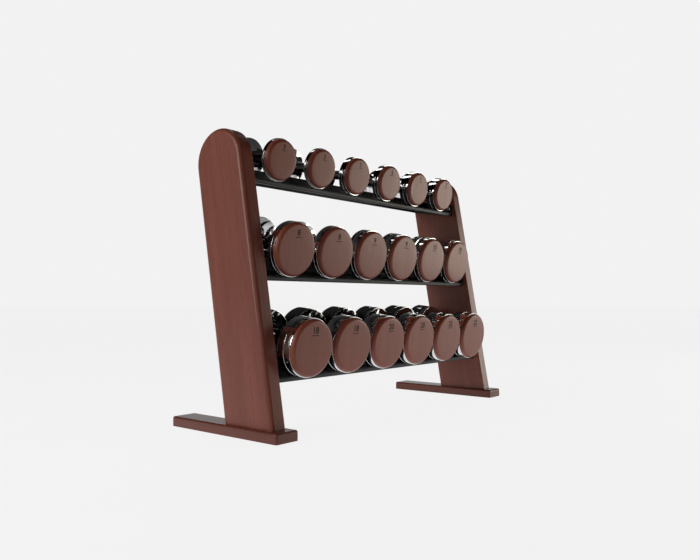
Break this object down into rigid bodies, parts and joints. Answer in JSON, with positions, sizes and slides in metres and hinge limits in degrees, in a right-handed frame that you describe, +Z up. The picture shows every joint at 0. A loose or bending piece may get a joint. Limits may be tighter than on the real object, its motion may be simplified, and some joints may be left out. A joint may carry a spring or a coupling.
{
  "type": "dumbbell rack",
  "caption": "Free-standing rack with leaning round-topped wooden sides and sloping black steel trays, holding chromed dumbbells with wooden discs on their heads.",
  "frame": {"origin": "On the floor, midway between the two feet in X and midway along them in Y.", "axes": "+X along the rack to the right of a user who faces it, -Y towards that user, +Z up."},
  "size_m": [1.222, 0.45, 0.8899],
  "materials": {
    "frame_wood": "red-brown stained, satin lacquer",
    "disc_wood": "red-brown stained, satin lacquer",
    "polished_steel": "mirror-polished chrome",
    "tray_paint": "black powder coat, fine texture",
    "liner_rubber": "matt black",
    "pad_rubber": "matt black",
    "bolt_chrome": "bright chrome",
    "insert_brass": "machined",
    "rivet_aluminium": "black anodised",
    "screw_steel": "zinc plated"
  },
  "bodies": {
    "rack": {"right_side_panel": "frame_wood", "left_side_panel": "frame_wood", "right_foot": "frame_wood", "left_foot": "frame_wood", "right_foot_pads": "pad_rubber", "left_foot_pads": "pad_rubber", "foot_screws": "screw_steel", "tray_bolts": "bolt_chrome", "tray_inserts": "insert_brass", "stop_rail_rivets": "rivet_aluminium", "bottom_tray": "tray_paint", "bottom_tray_end_plates": "tray_paint", "bottom_stop_rail": "tray_paint", "bottom_tray_liners": "liner_rubber", "middle_tray": "tray_paint", "middle_tray_end_plates": "tray_paint", "middle_stop_rail": "tray_paint", "middle_tray_liners": "liner_rubber", "top_tray": "tray_paint", "top_tray_end_plates": "tray_paint", "top_stop_rail": "tray_paint", "top_tray_liners": "liner_rubber"},
    "dumbbell_bottom_1": {"dumbbell_bottom_1_steel": "polished_steel", "dumbbell_bottom_1_discs": "disc_wood"},
    "dumbbell_bottom_2": {"dumbbell_bottom_2_steel": "polished_steel", "dumbbell_bottom_2_discs": "disc_wood"},
    "dumbbell_bottom_3": {"dumbbell_bottom_3_steel": "polished_steel", "dumbbell_bottom_3_discs": "disc_wood"},
    "dumbbell_bottom_4": {"dumbbell_bottom_4_steel": "polished_steel", "dumbbell_bottom_4_discs": "disc_wood"},
    "dumbbell_bottom_5": {"dumbbell_bottom_5_steel": "polished_steel", "dumbbell_bottom_5_discs": "disc_wood"},
    "dumbbell_bottom_6": {"dumbbell_bottom_6_steel": "polished_steel", "dumbbell_bottom_6_discs": "disc_wood"},
    "dumbbell_middle_1": {"dumbbell_middle_1_steel": "polished_steel", "dumbbell_middle_1_discs": "disc_wood"},
    "dumbbell_middle_2": {"dumbbell_middle_2_steel": "polished_steel", "dumbbell_middle_2_discs": "disc_wood"},
    "dumbbell_middle_3": {"dumbbell_middle_3_steel": "polished_steel", "dumbbell_middle_3_discs": "disc_wood"},
    "dumbbell_middle_4": {"dumbbell_middle_4_steel": "polished_steel", "dumbbell_middle_4_discs": "disc_wood"},
    "dumbbell_middle_5": {"dumbbell_middle_5_steel": "polished_steel", "dumbbell_middle_5_discs": "disc_wood"},
    "dumbbell_middle_6": {"dumbbell_middle_6_steel": "polished_steel", "dumbbell_middle_6_discs": "disc_wood"},
    "dumbbell_top_1": {"dumbbell_top_1_steel": "polished_steel", "dumbbell_top_1_discs": "disc_wood"},
    "dumbbell_top_2": {"dumbbell_top_2_steel": "polished_steel", "dumbbell_top_2_discs": "disc_wood"},
    "dumbbell_top_3": {"dumbbell_top_3_steel": "polished_steel", "dumbbell_top_3_discs": "disc_wood"},
    "dumbbell_top_4": {"dumbbell_top_4_steel": "polished_steel", "dumbbell_top_4_discs": "disc_wood"},
    "dumbbell_top_5": {"dumbbell_top_5_steel": "polished_steel", "dumbbell_top_5_discs": "disc_wood"},
    "dumbbell_top_6": {"dumbbell_top_6_steel": "polished_steel", "dumbbell_top_6_discs": "disc_wood"}
  },
  "joints": [
    {"name": "lift_bottom_1", "type": "slide", "parent": "rack", "child": "dumbbell_bottom_1", "axis": [0, -0.1305, 0.9914], "range_m": [0, 0.08]},
    {"name": "lift_bottom_2", "type": "slide", "parent": "rack", "child": "dumbbell_bottom_2", "axis": [0, -0.1305, 0.9914], "range_m": [0, 0.08]},
    {"name": "lift_bottom_3", "type": "slide", "parent": "rack", "child": "dumbbell_bottom_3", "axis": [0, -0.1305, 0.9914], "range_m": [0, 0.08]},
    {"name": "lift_bottom_4", "type": "slide", "parent": "rack", "child": "dumbbell_bottom_4", "axis": [0, -0.1305, 0.9914], "range_m": [0, 0.08]},
    {"name": "lift_bottom_5", "type": "slide", "parent": "rack", "child": "dumbbell_bottom_5", "axis": [0, -0.1305, 0.9914], "range_m": [0, 0.08]},
    {"name": "lift_bottom_6", "type": "slide", "parent": "rack", "child": "dumbbell_bottom_6", "axis": [0, -0.1305, 0.9914], "range_m": [0, 0.08]},
    {"name": "lift_middle_1", "type": "slide", "parent": "rack", "child": "dumbbell_middle_1", "axis": [0, -0.165, 0.9863], "range_m": [0, 0.08]},
    {"name": "lift_middle_2", "type": "slide", "parent": "rack", "child": "dumbbell_middle_2", "axis": [0, -0.165, 0.9863], "range_m": [0, 0.08]},
    {"name": "lift_middle_3", "type": "slide", "parent": "rack", "child": "dumbbell_middle_3", "axis": [0, -0.165, 0.9863], "range_m": [0, 0.08]},
    {"name": "lift_middle_4", "type": "slide", "parent": "rack", "child": "dumbbell_middle_4", "axis": [0, -0.165, 0.9863], "range_m": [0, 0.08]},
    {"name": "lift_middle_5", "type": "slide", "parent": "rack", "child": "dumbbell_middle_5", "axis": [0, -0.165, 0.9863], "range_m": [0, 0.08]},
    {"name": "lift_middle_6", "type": "slide", "parent": "rack", "child": "dumbbell_middle_6", "axis": [0, -0.165, 0.9863], "range_m": [0, 0.08]},
    {"name": "lift_top_1", "type": "slide", "parent": "rack", "child": "dumbbell_top_1", "axis": [0, -0.165, 0.9863], "range_m": [0, 0.2]},
    {"name": "lift_top_2", "type": "slide", "parent": "rack", "child": "dumbbell_top_2", "axis": [0, -0.165, 0.9863], "range_m": [0, 0.2]},
    {"name": "lift_top_3", "type": "slide", "parent": "rack", "child": "dumbbell_top_3", "axis": [0, -0.165, 0.9863], "range_m": [0, 0.2]},
    {"name": "lift_top_4", "type": "slide", "parent": "rack", "child": "dumbbell_top_4", "axis": [0, -0.165, 0.9863], "range_m": [0, 0.2]},
    {"name": "lift_top_5", "type": "slide", "parent": "rack", "child": "dumbbell_top_5", "axis": [0, -0.165, 0.9863], "range_m": [0, 0.2]},
    {"name": "lift_top_6", "type": "slide", "parent": "rack", "child": "dumbbell_top_6", "axis": [0, -0.165, 0.9863], "range_m": [0, 0.2]}
  ]
}
